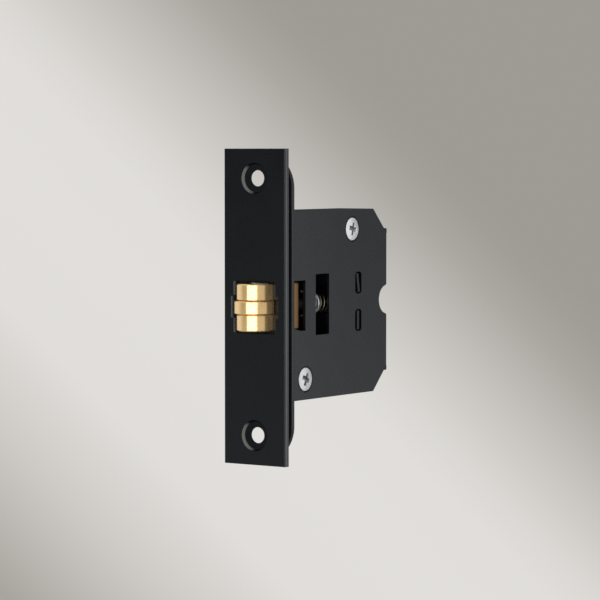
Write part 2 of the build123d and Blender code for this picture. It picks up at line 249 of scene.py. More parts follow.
class Axis(Enum):
    """A main axis, by its number in a vector."""

    X = 0
    Y = 1
    Z = 2

    def weights(self, along: float, across: float) -> Place:
        """One weight for this axis and another for the two axes across it."""
        return tuple(along if number == self.value else across for number in range(3))

    def radius(self, graph: Graph, place: Socket) -> Term:
        """How far a place is from the line along this axis."""
        return graph.measure("LENGTH", graph.vector("MULTIPLY", place, self.weights(0.0, 1.0)))


@dataclass(frozen=True)
class Grain:
    """The way that a machined surface's fine lines run, and what line they turn about."""

    axis: Axis
    drawn: bool = False
    centre: Place = (0.0, 0.0, 0.0)
    stretch: float = 0.012
    octaves: float = 3.0
    crispness: float = 0.6

    def lines(self, graph: Graph, per_metre: float) -> Term:
        """Fine lines: along the axis on drawn stock, around it on turned stock.

        Args:
            graph: The material's graph.
            per_metre: How many lines there are to a metre.

        Returns:
            The lines' height, from 0 to 1.
        """
        place = graph.vector("SUBTRACT", graph.position(), self.centre)
        if self.drawn:
            pattern = graph.vector("MULTIPLY", place, self.axis.weights(self.stretch, 1.0))
        else:
            rings = {"X": self.axis.radius(graph, place), "Y": graph.parts_of(place)[self.axis.value]}
            pattern = graph.node("ShaderNodeCombineXYZ", rings).outputs["Vector"]
        return graph.noise(pattern, per_metre, self.octaves, self.crispness)


@dataclass(frozen=True)
class EdgeBox:
    """The box of a piece, for finding how far a point of its surface is from an edge."""

    low: Place
    high: Place

    @classmethod
    def of(cls, node: str) -> "EdgeBox":
        """Take the box of a CAD node."""
        low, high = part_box(node)
        return cls(tuple(low), tuple(high))

    def distance(self, graph: Graph) -> Term:
        """The distance to the nearest edge of the box: the second smallest distance to its sides.

        Args:
            graph: The material's graph.

        Returns:
            The distance in metres.
        """
        first, second, third = (
            (part - low).least(high - part)
            for part, low, high in zip(graph.parts_of(graph.position()), self.low, self.high)
        )
        return first.least(second).most(first.most(second).least(third))


@dataclass(frozen=True)
class PaintedHighlights:
    """A highlight painted on the coat of a thick plate: on its long side, which looks along +X, and on its
    hole rims that face +X and up.
    """

    side_highlight_tone: Colour = (0.072, 0.072, 0.070)
    side_facing: Pair = (0.80, 0.97)
    side_band: Pair = (0.60 * MM, 1.45 * MM)
    side_share: float = 0.32
    side_cover: float = 0.80
    side_clouds: float = 0.30
    side_polish: float = 0.04
    rim_highlight_tone: Colour = (0.165, 0.163, 0.155)
    rim_facing: Pair = (0.22, 0.62)
    rim_lean: float = 0.25
    rim_depth: float = 1.15 * MM
    rims_within: float = 11.5 * MM
    rim_edge: Pair = (0.02 * MM, 0.15 * MM)
    deep_roughness: float = 0.70
    fade: float = 0.15 * MM
    long_fade: float = 0.20 * MM

    def shade(
        self, graph: Graph, clouds: Term, normal: tuple[Term, Term, Term], colour: Socket, rough: Term
    ) -> tuple[Socket, Term]:
        """Paint a highlight on the faces that look along +X and on the hole rims that face +X and up, and
        roughen the insides of the holes.

        Args:
            graph: The material's graph.
            clouds: The coat's cloudy noise.
            normal: The surface normal's X, Y and Z.
            colour: The coat's colour so far.
            rough: The coat's roughness so far.

        Returns:
            The new colour and roughness.
        """
        across, deep, _ = graph.parts_of(graph.position())
        faces, _, upward = normal
        start, end = self.side_band
        side = faces.step(*self.side_facing)
        begun = deep.step(start - self.fade, start + self.fade)
        band = begun * deep.step(end + self.long_fade, end - self.long_fade)
        share = self.side_share * begun + (1 - self.side_share) * band
        cover = self.side_cover + self.side_clouds * clouds
        # painted highlight: the faces that look along +X are lightened, most on a band just behind the front
        # face
        colour = graph.blend(side * share * cover, colour, self.side_highlight_tone)
        within = across.step(self.rims_within, self.rims_within - self.long_fade)
        shallow = deep.step(self.rim_depth, self.rim_depth - self.fade)
        # painted highlight on the hole rims that face +X and up, near the front face
        rims = (faces + self.rim_lean * upward).step(*self.rim_facing) * shallow * within
        colour = graph.blend(rims * deep.step(*self.rim_edge), colour, self.rim_highlight_tone)
        rough = rough - self.side_polish * side + self.deep_roughness * (1 - shallow) * within
        return colour, rough


@dataclass(frozen=True)
class PowderCoat:
    """Satin black powder coat with a fine orange peel, thinner and lighter along its edges."""

    tone: Colour = (0.0030, 0.0033, 0.0037)
    worn_tone: Colour = (0.030, 0.031, 0.032)
    # a highlight painted on the faces that look along +X and on the hole rims, where given
    cut: PaintedHighlights | None = None
    roughness: float = 0.27
    specular: float = 0.32
    specular_tint: Colour = (0.88, 1.0, 1.10)
    cloud_range: Pair = (0.3, 0.8)
    cloud_share: float = 0.5
    cloud_gain: float = 1.5
    cloud_roughness: float = 0.08
    speck_range: Pair = (0.30, 0.62)
    speck_share: float = 0.7
    speck_roughness: float = 0.10
    edge_width: float = 0.35 * MM
    edge_roughness: float = 0.30
    dust_facing: Pair = (0.85, 0.97)
    dust_roughness: float = 0.60
    clouds_per_metre: float = 70.0
    specks_per_metre: float = 2400.0
    peel_per_metre: Pair = (1500.0, 5200.0)
    peel_share: float = 0.35
    peel_depth: float = 0.010 * MM

    def make(self, name: str, box: EdgeBox) -> bpy.types.Material:
        """Make the coat for one piece.

        Args:
            name: The material's name.
            box: The piece's box, whose edges are worn.

        Returns:
            The material.
        """
        material, graph, shader = start_material(name)
        place = graph.position()
        clouds = graph.noise(place, self.clouds_per_metre, 3.0)
        specks = graph.noise(place, self.specks_per_metre, 2.0)
        near = box.distance(graph).step(self.edge_width, 0.0)
        paler = tuple(self.cloud_gain * part for part in self.tone)
        tone = graph.blend(clouds.step(*self.cloud_range) * self.cloud_share, self.tone, paler)
        worn = near * specks.step(*self.speck_range) * self.speck_share
        colour = graph.blend(worn, tone, self.worn_tone)
        normal = graph.parts_of(graph.node("ShaderNodeNewGeometry").outputs["Normal"])
        rough = self.roughness + self.speck_roughness * (specks - NOISE_MIDDLE)
        rough = rough + self.cloud_roughness * (clouds - NOISE_MIDDLE) + self.edge_roughness * near
        rough = rough + self.dust_roughness * normal[Axis.Z.value].step(*self.dust_facing)
        # paint the highlight on the +X faces and the hole rims
        if self.cut is not None:
            colour, rough = self.cut.shade(graph, clouds, normal, colour, rough)
        coarse, fine = self.peel_per_metre
        peel = graph.noise(place, coarse, 1.0) + self.peel_share * graph.noise(place, fine, 2.0)
        bumps = graph.bump(peel, self.peel_depth)
        graph.wire(shader, {"Base Color": colour, "Roughness": rough, "Normal": bumps})
        graph.wire(shader, {"Specular IOR Level": self.specular, "Specular Tint": self.specular_tint})
        return material


@dataclass(frozen=True)
class DarkStretch:
    """A darker stretch of a metal piece, with its own roughness: past a place on an axis and within a radius.
    """

    axis: Axis
    start: float
    end: float
    tone: Colour
    roughness: float = 0.5
    within: float = 1.0
    fade: float = 0.1 * MM

    def share(self, graph: Graph, centre: Place) -> Term:
        """How much the surface is darkened.

        Args:
            graph: The material's graph.
            centre: A point on the axis, from which the radius within which it darkens is measured.

        Returns:
            1 on the darker stretch and 0 elsewhere.
        """
        place = graph.position()
        past = graph.parts_of(place)[self.axis.value].step(self.start, self.end)
        radius = self.axis.radius(graph, graph.vector("SUBTRACT", place, centre))
        return past * radius.step(self.within, self.within - self.fade)


@dataclass(frozen=True)
class BareMetal:
    """A bare or plated metal with fine machining lines, light stains and small dents."""

    tones: Tones
    roughness: float
    grain: Grain
    dark_stretch: DarkStretch | None = None
    metallic: float = 1.0
    coat: float = 0.0
    stain_share: float = 0.35
    stain_range: Pair = (0.45, 0.85)
    stain_roughness: float = 0.10
    line_share: float = 0.10
    line_range: Pair = (0.55, 0.75)
    line_roughness: float = 0.10
    line_depth: float = 0.0012 * MM
    dent_range: Pair = (0.66, 0.80)
    dent_roughness: float = 0.05
    dent_share: float = 0.4
    lines_per_metre: float = 9000.0
    clouds_per_metre: float = 260.0
    dents_per_metre: float = 1900.0

    def make(self, name: str) -> bpy.types.Material:
        """Make the metal.

        Args:
            name: The material's name.

        Returns:
            The material.
        """
        material, graph, shader = start_material(name)
        place = graph.position()
        lines = self.grain.lines(graph, self.lines_per_metre)
        clouds = graph.noise(place, self.clouds_per_metre, 4.0, 0.55)
        dents = graph.noise(place, self.dents_per_metre, 1.0).step(*self.dent_range)
        stained = clouds.step(*self.stain_range) * self.stain_share
        tone, stain = self.tones
        colour = graph.blend(stained, tone, stain)
        colour = graph.blend(self.line_share * lines.step(*self.line_range), colour, stain)
        rough = self.roughness + self.line_roughness * (lines - NOISE_MIDDLE)
        rough = rough + self.stain_roughness * stained + self.dent_roughness * dents
        coat = self.coat
        # the darker stretch, where given: painted shade in the screw recesses and inside the case, where the
        # brass is also less polished; on the nut, a darker front face
        if self.dark_stretch is not None:
            share = self.dark_stretch.share(graph, self.grain.centre)
            colour = graph.blend(share, colour, self.dark_stretch.tone)
            rough = rough + share * (self.dark_stretch.roughness - self.roughness)
            coat = coat * (1 - share)
        graph.wire(shader, {"Metallic": self.metallic, "Coat Weight": coat, "Coat Roughness": self.roughness})
        bumps = graph.bump(lines - self.dent_share * dents, self.line_depth)
        graph.wire(shader, {"Base Color": colour, "Roughness": rough, "Normal": bumps})
        return material


def start_material(name: str) -> tuple[bpy.types.Material, Graph, bpy.types.Node]:
    """Start a material with one main shader.

    Args:
        name: The material's name.

    Returns:
        The material, its graph and its main shader.
    """
    material = bpy.data.materials.new(name)
    material.use_nodes = True
    graph = Graph(material.node_tree)
    shader = graph.node("ShaderNodeBsdfPrincipled")
    graph.node("ShaderNodeOutputMaterial", {"Surface": shader.outputs["BSDF"]})
    return material, graph, shader


def dress(piece: Piece, material: bpy.types.Material) -> None:
    """Give a piece one material on all its faces.

    Args:
        piece: The piece.
        material: Its material.
    """
    piece.data.materials.clear()
    piece.data.materials.append(material)
    LOG.info("%s wears %s", piece.name, material.name)


def mesh_piece(
    name: str, points: list[Vector], faces: list[tuple[int, ...]], flat_from: float = 40.0
) -> Piece:
    """Make a mesh object, smooth except across its sharp edges.

    Args:
        name: The piece's name.
        points: Its points in metres.
        faces: Its faces, as numbers of points.
        flat_from: The angle in degrees from which an edge stays sharp.

    Returns:
        The new object.
    """
    mesh = bpy.data.meshes.new(name)
    mesh.from_pydata([tuple(point) for point in points], [], faces)
    settle(mesh, flat_from)
    piece = bpy.data.objects.new(name, mesh)
    bpy.context.scene.collection.objects.link(piece)
    return piece


def settle(mesh: bpy.types.Mesh, flat_from: float) -> None:
    """Point a mesh's faces outwards and smooth it between its sharp edges.

    Args:
        mesh: The mesh.
        flat_from: The angle in degrees from which an edge stays sharp.
    """
    work = bmesh.new()
    work.from_mesh(mesh)
    bmesh.ops.remove_doubles(work, verts=work.verts, dist=1e-7)
    bmesh.ops.recalc_face_normals(work, faces=work.faces)
    for face in work.faces:
        face.smooth = True
    for edge in work.edges:
        edge.smooth = len(edge.link_faces) == 2 and edge.calc_face_angle() < math.radians(flat_from)
    work.to_mesh(mesh)
    work.free()


def carve(piece: Piece, cutter: Piece, flat_from: float) -> None:
    """Cut one closed mesh out of another and drop the cutter.

    Args:
        piece: What is cut.
        cutter: What is taken away.
        flat_from: The angle in degrees from which an edge stays sharp.
    """
    cut = piece.modifiers.new("cut", "BOOLEAN")
    cut.operation = "DIFFERENCE"
    cut.solver = "EXACT"
    cut.object = cutter
    bpy.context.view_layer.update()
    carved = bpy.data.meshes.new_from_object(piece.evaluated_get(bpy.context.evaluated_depsgraph_get()))
    piece.modifiers.clear()
    old, piece.data = piece.data, carved
    bpy.data.meshes.remove(old)
    bpy.data.objects.remove(cutter)
    settle(carved, flat_from)
    carved.name = piece.name


def ring(
    centre: Place | Vector, first: Place | Vector, second: Place | Vector, radii: list[float]
) -> list[Vector]:
    """Points spread evenly over one turn round a centre.

    Args:
        centre: The middle.
        first: The direction of the first point.
        second: The direction of the point a quarter turn on.
        radii: Each point's distance from the middle.

    Returns:
        The points.
    """
    points = []
    for number, radius in enumerate(radii):
        angle = TURN * (number / len(radii))
        out, aside = radius * math.cos(angle), radius * math.sin(angle)
        points.append(Vector([c + out * f + aside * s for c, f, s in zip(centre, first, second)]))
    return points


def rings_piece(
    name: str, rings: list[list[Vector]], ends: tuple[Vector, Vector], flat_from: float = 40.0
) -> Piece:
    """Skin a row of closed rings and close both ends onto a point.

    Args:
        name: The piece's name.
        rings: The rings, each with the same number of points.
        ends: The middle points of the first and the last end.
        flat_from: The angle in degrees from which an edge stays sharp.

    Returns:
        The new object.
    """
    count = len(rings[0])
    points = [point for row in rings for point in row] + list(ends)
    faces: list[tuple[int, ...]] = []
    for row in range(len(rings) - 1):
        for i in range(count):
            j = (i + 1) % count
            faces.append((row * count + i, row * count + j, (row + 1) * count + j, (row + 1) * count + i))
    first, last = len(points) - 2, len(points) - 1
    top = (len(rings) - 1) * count
    for i in range(count):
        j = (i + 1) % count
        faces.append((first, j, i))
        faces.append((last, top + i, top + j))
    return mesh_piece(name, points, faces, flat_from)


def turned_ring(
    name: str, profile: list[Pair], reach: Callable[[float], float], sides: int = 360
) -> Piece:
    """Turn a closed profile about the Y axis.

    Args:
        name: The piece's name.
        profile: The profile's (radius, y) points in order.
        reach: The largest radius at a share of a turn from +Z towards +X, for notches in the rim.
        sides: How many steps the turn is made of.

    Returns:
        The new object.
    """
    points = []
    for i in range(sides):
        angle = TURN * i / sides
        for radius, y in profile:
            radius = min(radius, reach(i / sides))
            points.append(Vector((radius * math.sin(angle), y, radius * math.cos(angle))))
    count = len(profile)
    faces = []
    for i in range(sides):
        here, there = i * count, (i + 1) % sides * count
        for k in range(count):
            after = (k + 1) % count
            faces.append((here + k, here + after, there + after, there + k))
    return mesh_piece(name, points, faces)


def rounded_profile(
    inner: float, outer: float, front: float, rear: float, edge: float, steps: int = 6
) -> list[Pair]:
    """The profile of a washer or nut whose two outer edges are rounded.

    Args:
        inner: The bore's radius.
        outer: The rim's radius.
        front: The front face's y.
        rear: The rear face's y.
        edge: The radius of the rounded edges.
        steps: How many steps each rounded edge is made of.

    Returns:
        The profile's (radius, y) points.
    """
    profile = [(inner, front)]
    for centre_y, start in ((front + edge, -90), (rear - edge, 0)):
        for step in range(steps + 1):
            angle = math.radians(start + 90 / steps * step)
            profile.append((outer - edge + edge * math.cos(angle), centre_y + edge * math.sin(angle)))
    return profile + [(inner, rear)]


def wedge(
    name: str, top: Pair, bottom: Pair, depth: float, above: float = 0.5 * MM
) -> Piece:
    """A tapered block, for cutting: it narrows from X = 0 towards -X, and widens on above it.

    Args:
        name: The block's name.
        top: Its size along Y and Z in X = 0.
        bottom: Its size along Y and Z at the bottom.
        depth: How deep it goes.
        above: How far it stands out of X = 0.

    Returns:
        The new object.
    """
    grow = 1 + above / depth
    points = []
    for x, size in ((above, [b + (t - b) * grow for t, b in zip(top, bottom)]), (-depth, bottom)):
        for y, z in ((-1, -1), (1, -1), (1, 1), (-1, 1)):
            points.append(Vector((x, y * size[0] / 2, z * size[1] / 2)))
    sides = [(i, (i + 1) % 4, 4 + (i + 1) % 4, 4 + i) for i in range(4)]
    return mesh_piece(name, points, [(0, 3, 2, 1), (4, 5, 6, 7), *sides])


@dataclass
class FrontPlates:
    """The faceplate and the inner forend behind it."""

    # the faceplate's coat carries a painted highlight on its +X side and its hole rims
    outer: PowderCoat = PowderCoat(cut=PaintedHighlights())
    inner: PowderCoat = PowderCoat((0.008, 0.009, 0.010), (0.012, 0.012, 0.013), specular=0.26)

    def dress(self) -> None:
        """Coat both plates."""
        dress(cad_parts["faceplate"], self.outer.make("faceplate_coat", EdgeBox.of("faceplate")))
        dress(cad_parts["inner_forend"], self.inner.make("forend_coat", EdgeBox.of("inner_forend")))


@dataclass
class CaseShell:
    """The folded tray, its flat cover and the spring bracket inside, with the bracket's rivets."""

    rivet_zinc: Tones = ((0.66, 0.67, 0.69), (0.36, 0.36, 0.36))

    def dress(self) -> None:
        """Coat the sheet pieces and leave the rivets plated."""
        coat = PowderCoat()
        for node in ("case_body", "case_cover", "spring_bracket"):
            dress(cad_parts[node], coat.make(f"{node}_coat", EdgeBox.of(node)))
        low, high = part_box("bracket_rivets")
        turned = Grain(Axis.X, centre=(0.0, ((low + high) / 2).y, 0.0))
        zinc = BareMetal(self.rivet_zinc, 0.30, turned)
        dress(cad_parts["bracket_rivets"], zinc.make("rivet_plating"))


@dataclass
class CoverFixings:
    """The two cover screws with their tapered cross recesses, and the posts that take them."""

    head_radius: float = 4.0 * MM
    rim_height: float = 0.8 * MM
    rim_edge: float = 0.05 * MM
    rim_trim: float = 0.04 * MM
    dome_height: float = 0.55 * MM
    dome_rows: int = 16
    thread_radius: float = 2.0 * MM
    thread_depth: float = 0.3 * MM
    thread_gap: float = 0.3 * MM
    length: float = 7.0 * MM
    pitch: float = 0.7 * MM
    rows_per_pitch: int = 8
    cross_top: Pair = (5.1 * MM, 1.65 * MM)
    cross_bottom: Pair = (3.2 * MM, 0.95 * MM)
    cross_depth: float = 1.1 * MM
    tick_size: Pair = (3.0 * MM, 0.22 * MM)
    tick_depth: float = 0.12 * MM
    tick_turn: float = 45.0
    cross_turns: tuple[tuple[str, float], ...] = (("upper", -14.0), ("lower", -24.0))
    sides: int = 96
    flat_from: float = 30.0
    zinc: Tones = ((0.66, 0.68, 0.69), (0.52, 0.53, 0.54))
    # painted shade in the cross recess: its tone, the depths below the crown where it starts, and its radius
    recess_shade_tone: Colour = (0.19, 0.20, 0.205)
    recess_shade_depths: Pair = (0.30 * MM, 0.65 * MM)
    recess_shade_radius: float = 2.8 * MM
    post_zinc: Tones = ((0.60, 0.61, 0.63), (0.34, 0.34, 0.34))

    def build(self) -> None:
        """Build and dress both screws, and dress their posts."""
        for name, turn in self.cross_turns:
            node = f"cover_screw_{name}"
            low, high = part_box(node)
            centre = Vector((high.x, (low.y + high.y) / 2, (low.z + high.z) / 2))
            turned = Grain(Axis.X, centre=tuple(centre))
            screw = self._screw(f"cross_screw_{name}", centre, turn)
            # painted shade on the deeper walls and floor of the cross recess
            start, end = (high.x - depth for depth in self.recess_shade_depths)
            recess = DarkStretch(Axis.X, start, end, self.recess_shade_tone, 0.36, self.recess_shade_radius)
            zinc = BareMetal(self.zinc, 0.46, turned, recess, stain_share=0.2)
            dress(screw, zinc.make(f"{node}_zinc"))
            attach(screw, "root")
            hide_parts(node)
            post = BareMetal(self.post_zinc, 0.34, turned)
            dress(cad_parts[f"screw_post_{name}"], post.make(f"screw_post_{name}_zinc"))

    def _profile(self) -> list[tuple[float, float, float]]:
        """The screw's outline from the crown to the tip.

        Returns:
            For each row of points its x from the crown, its radius, and 1 where the thread is cut, else 0.
        """
        dome = (self.head_radius**2 + self.dome_height**2) / (2 * self.dome_height)
        rows = []
        for step in range(1, self.dome_rows + 1):
            radius = self.head_radius * step / self.dome_rows
            trim = self.rim_trim if step == self.dome_rows else 0.0
            rows.append((math.sqrt(dome**2 - radius**2) - dome, radius - trim, 0.0))
        seat = -self.dome_height - self.rim_height
        rows += [
            (-self.dome_height - self.rim_edge, self.head_radius, 0.0),
            (seat + self.rim_edge, self.head_radius, 0.0),
            (seat, self.head_radius - self.rim_edge, 0.0),
            (seat, self.thread_radius, 0.0),
        ]
        for step in range(int((self.length - self.thread_radius / 2) / self.pitch * self.rows_per_pitch)):
            below = self.thread_gap + step * self.pitch / self.rows_per_pitch
            rows.append((seat - below, self.thread_radius, 1.0))
        rows.append((seat - self.length, self.thread_radius / 2, 0.0))
        return rows

    def _screw(self, name: str, centre: Vector, turn: float) -> Piece:
        """One screw, with its thread and its cross recess.

        Args:
            name: The screw's name.
            centre: Where its crown goes.
            turn: How many degrees the cross is turned.

        Returns:
            The new object.
        """
        rings = []
        for x, radius, thread in self._profile():
            waves = [abs(2 * ((x / self.pitch + i / self.sides) % 1.0) - 1) for i in range(self.sides)]
            radii = [radius - self.thread_depth * thread * wave for wave in waves]
            rings.append(ring((x, 0.0, 0.0), (0.0, 1.0, 0.0), (0.0, 0.0, 1.0), radii))
        tip = Vector((rings[-1][0].x, 0.0, 0.0))
        screw = rings_piece(name, rings, (Vector((0.0, 0.0, 0.0)), tip), self.flat_from)
        arm = (self.cross_top, self.cross_bottom, self.cross_depth, turn)
        tick = (self.tick_size, self.tick_size, self.tick_depth, turn + self.tick_turn)
        for top, bottom, depth, angle in (arm, tick):
            for quarter in (0, 90):
                cutter = wedge("cutter", top, bottom, depth)
                cutter.rotation_euler.x = math.radians(angle + quarter)
                carve(screw, cutter, self.flat_from)
        screw.data.transform(Matrix.Translation(centre))
        return screw


@dataclass
class RollerBolt:
    """The brass bolt head with its roller and pin."""

    brass: Tones = ((0.91, 0.63, 0.285), (0.60, 0.36, 0.14))
    metallic: float = 0.72
    lacquer: float = 0.4
    # the brass inside the case: less polished, and darkened by painted shade
    inside: Colour = (0.24, 0.135, 0.050)
    inside_from: Pair = (6.5 * MM, 8.0 * MM)
    pin_steel: Tones = ((0.58, 0.58, 0.58), (0.32, 0.31, 0.30))

    def dress(self) -> None:
        """Polish the brass and the pin."""
        turned = Grain(Axis.Z)
        # painted shade on the less polished brass inside the case
        unpolished_and_shaded = DarkStretch(Axis.Y, *self.inside_from, self.inside)
        head = self._brass(0.17, Grain(Axis.Z, drawn=True), unpolished_and_shaded, 0.22)
        roller = self._brass(0.15, turned, None, 0.28)
        pin = BareMetal(self.pin_steel, 0.28, turned)
        dress(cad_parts["bolt_head"], head.make("drawn_brass"))
        dress(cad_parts["roller"], roller.make("turned_brass"))
        dress(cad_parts["roller_pin"], pin.make("pin_steel"))

    def _brass(self, roughness: float, grain: Grain, dark_stretch: DarkStretch | None, stain_share: float) -> BareMetal:
        """The thinly lacquered brass of one piece."""
        return BareMetal(self.brass, roughness, grain, dark_stretch, self.metallic, self.lacquer, stain_share)


@dataclass
class AdjusterStem:
    """The threaded stem with the notched nut, its pin, the stop washer and the clip."""

    front: float = 11.2 * MM
    thread_end: float = 28.4 * MM
    rear: float = 59.6 * MM
    crest_radius: float = 2.45 * MM
    thread_depth: float = 0.42 * MM
    relief_length: float = 0.15 * MM
    pitch: float = 0.8 * MM
    flank_slope: float = 1.25
    shank_radius: float = 2.3 * MM
    groove: Pair = (53.9 * MM, 54.6 * MM)
    groove_radius: float = 1.75 * MM
    slot_width: float = 1.0 * MM
    slot_depth: float = 1.2 * MM
    slot_length: float = 6.0 * MM
    nut_edge: float = 0.45 * MM
    nut_notches: int = 6
    nut_notch_width: float = 1.4 * MM
    nut_notch_depth: float = 0.8 * MM
    nut_dark_front: Pair = (0.30 * MM, 0.10 * MM)
    sides: int = 64
    rows_per_pitch: int = 10
    row_gap: float = 0.002 * MM
    flat_from: float = 35.0
    dark_steel: Tones = ((0.022, 0.022, 0.023), (0.012, 0.011, 0.010))
    hard_steel: Tones = ((0.060, 0.058, 0.055), (0.035, 0.032, 0.029))
    pin_steel: Tones = ((0.5, 0.5, 0.5), (0.3, 0.3, 0.3))
    nut_front_tone: Colour = (0.012, 0.012, 0.012)

    def build(self) -> None:
        """Build the stem with its real thread, and dress what it carries."""
        turned = Grain(Axis.Y)
        stem = self._stem()
        dress(stem, BareMetal(self.dark_steel, 0.5, turned).make("stem_steel"))
        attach(stem, "stem")
        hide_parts("stem")
        nut = self._nut()
        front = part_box("adjusting_nut")[0].y
        # the nut is darker on its front face
        start, end = (front + depth for depth in self.nut_dark_front)
        dark_front = DarkStretch(Axis.Y, start, end, self.nut_front_tone, 0.6)
        dress(nut, BareMetal(BRIGHT_ZINC, 0.34, turned, dark_front).make("nut_zinc"))
        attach(nut, "stem")
        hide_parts("adjusting_nut")
        hard = BareMetal(self.hard_steel, 0.36, turned)
        for node in ("stop_washer", "retaining_clip"):
            dress(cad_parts[node], hard.make(f"{node}_steel"))
        pin = BareMetal(self.pin_steel, 0.3, Grain(Axis.Z))
        dress(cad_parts["nut_pin"], pin.make("nut_pin_steel"))

    def _nut(self) -> Piece:
        """The notched nut with rounded edges.

        Returns:
            The new object.
        """
        low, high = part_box("adjusting_nut")
        outer = high.x
        half_notch = math.asin(self.nut_notch_width / 2 / outer) / TURN

        def reach(share: float) -> float:
            """The nut's radius, less in a notch."""
            off = abs((share * self.nut_notches + 0.5) % 1.0 - 0.5) / self.nut_notches
            return outer - self.nut_notch_depth if off < half_notch else outer

        profile = rounded_profile(self.shank_radius, outer, low.y, high.y, self.nut_edge)
        return turned_ring("notched_nut", profile, reach)

    def _radius(self, y: float, share: float) -> float:
        """The stem's radius.

        Args:
            y: The place along it.
            share: The share of a turn around it.

        Returns:
            The radius there.
        """
        if y <= self.thread_end:
            phase = (y / self.pitch - share) % 1.0
            flank = min(1.0, self.flank_slope * (1 - abs(2 * phase - 1)))
            fade = min(1.0, (y - self.front) / self.pitch, (self.thread_end - y) / self.pitch)
            return self.crest_radius - self.thread_depth * (1 - flank * max(fade, 0.0))
        if y <= self.thread_end + self.relief_length:
            return self.crest_radius - self.thread_depth
        if self.groove[0] < y < self.groove[1]:
            return self.groove_radius
        return min(self.shank_radius, self.shank_radius + (self.rear - self.shank_radius / 4 - y))

    def _rows(self) -> list[float]:
        """The places along the stem that get a ring of points.

        Returns:
            Their y, in rising order.
        """
        step = self.pitch / self.rows_per_pitch
        count = int((self.thread_end - self.front) / step)
        rows = [self.front + i * step for i in range(count + 1)]
        relief_end = self.thread_end + self.relief_length
        rows += [self.thread_end, relief_end, relief_end + self.row_gap]
        for place in self.groove:
            rows += [place - self.row_gap, place + self.row_gap]
        return rows + [self.rear - self.shank_radius / 4, self.rear]

    def _stem(self) -> Piece:
        """The stem with its helical thread and the driver slot in its rear end.

        Returns:
            The new object.
        """
        rings = []
        for y in self._rows():
            radii = [self._radius(y, i / self.sides) for i in range(self.sides)]
            rings.append(ring((0.0, y, 0.0), (0.0, 0.0, 1.0), (1.0, 0.0, 0.0), radii))
        ends = (Vector((0.0, self.front, 0.0)), Vector((0.0, self.rear, 0.0)))
        stem = rings_piece("threaded_stem", rings, ends, self.flat_from)
        size = (self.slot_width, self.slot_length)
        slot = wedge("slot", size, size, self.slot_depth)
        slot.rotation_euler.z = math.radians(90)
        slot.location = (0.0, self.rear, 0.0)
        carve(stem, slot, self.flat_from)
        return stem


@dataclass
class SpringSet:
    """The compression spring on the stem, and the washer that it pushes on."""

    seat: float = 33.4 * MM
    anchor: float = 51.75 * MM
    outer_radius: float = 4.2 * MM
    wire_radius: float = 0.45 * MM
    turns: float = 8.0
    start_turn: float = 0.3
    end_pitch: float = 1.36 * MM
    seat_gap: float = 0.1 * MM
    washer_bore: float = 2.35 * MM
    washer_edge: float = 0.36 * MM
    rings_per_turn: int = 40
    sides: int = 16
    cut_end_share: float = 0.86
    nearby: float = 0.003
    wire_steel: Tones = ((0.20, 0.175, 0.14), (0.10, 0.08, 0.06))

    def build(self) -> None:
        """Wind the spring, and dress it and its washer."""
        spring = self._spring()
        turned = Grain(Axis.Y)
        dress(spring, BareMetal(self.wire_steel, 0.28, turned).make("spring_wire"))
        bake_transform(spring)
        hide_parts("spring")
        low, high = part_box("thrust_washer")
        profile = rounded_profile(self.washer_bore, high.x, low.y, high.y, self.washer_edge)
        washer = turned_ring("rounded_washer", profile, lambda share: high.x)
        dress(washer, BareMetal(BRIGHT_ZINC, 0.34, turned).make("washer_zinc"))
        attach(washer, "spring_seat")
        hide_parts("thrust_washer")

    def _rise(self, turn: float) -> float:
        """How far along its axis the wire has gone, with closer turns at both ends.

        Args:
            turn: How many turns it has made.

        Returns:
            The way along the axis, in metres.
        """
        length = self.anchor - self.seat - 2 * (self.wire_radius + self.seat_gap)
        open_pitch = (length - self.end_pitch) / (self.turns - 1)
        swell = open_pitch - self.end_pitch
        if turn < 1:
            return turn * self.end_pitch + swell * (turn / 2 - math.sin(math.pi * turn) / TURN)
        if turn <= self.turns - 1:
            return self.end_pitch + swell / 2 + (turn - 1) * open_pitch
        return length - self._rise(self.turns - turn)

    def _point(self, turn: float) -> Vector:
        """The wire's centre line.

        Args:
            turn: How many turns it has made.

        Returns:
            The point that it has come to.
        """
        radius = self.outer_radius - self.wire_radius
        y = self.seat + self.seat_gap + self.wire_radius + self._rise(turn)
        angle = TURN * (turn + self.start_turn)
        return Vector((radius * math.cos(angle), y, radius * math.sin(angle)))

    def _spring(self) -> Piece:
        """The spring: a round wire along the helix, its cut ends slightly rounded.

        Returns:
            The new object.
        """
        rows = int(self.turns * self.rings_per_turn)
        rings = []
        for row in range(rows + 1):
            turn = row / self.rings_per_turn
            centre = self._point(turn)
            before = self._point(max(turn - self.nearby, 0.0))
            along = (self._point(min(turn + self.nearby, self.turns)) - before).normalized()
            side = along.cross(Vector((centre.x, 0.0, centre.z)).normalized()).normalized()
            radius = self.wire_radius * (self.cut_end_share if row in (0, rows) else 1.0)
            rings.append(ring(centre, side.cross(along), side, [radius] * self.sides))
        return rings_piece("wound_spring", rings, (self._point(0.0), self._point(self.turns)))


@dataclass(frozen=True)
class Lamp:
    """One soft rectangular lamp that looks at the object: its place round it, its size and its radiance."""

    name: str
    azimuth: float
    height: float
    distance: float
    width: float
    tall: float
    radiance: float

    def hang(self) -> None:
        """Hang the lamp."""
        angle = math.radians(self.azimuth)
        data = bpy.data.lights.new(f"lamp_{self.name}", "AREA")
        data.shape = "RECTANGLE"
        data.size, data.size_y = self.width, self.tall
        data.energy = math.pi * self.radiance * self.width * self.tall
        made = bpy.data.objects.new(data.name, data)
        bpy.context.scene.collection.objects.link(made)
        made.location = (self.distance * math.sin(angle), -self.distance * math.cos(angle), self.height)
        made.rotation_mode = "QUATERNION"
        made.rotation_quaternion = (-made.location).to_track_quat("-Z", "Y")
        made.visible_camera = False


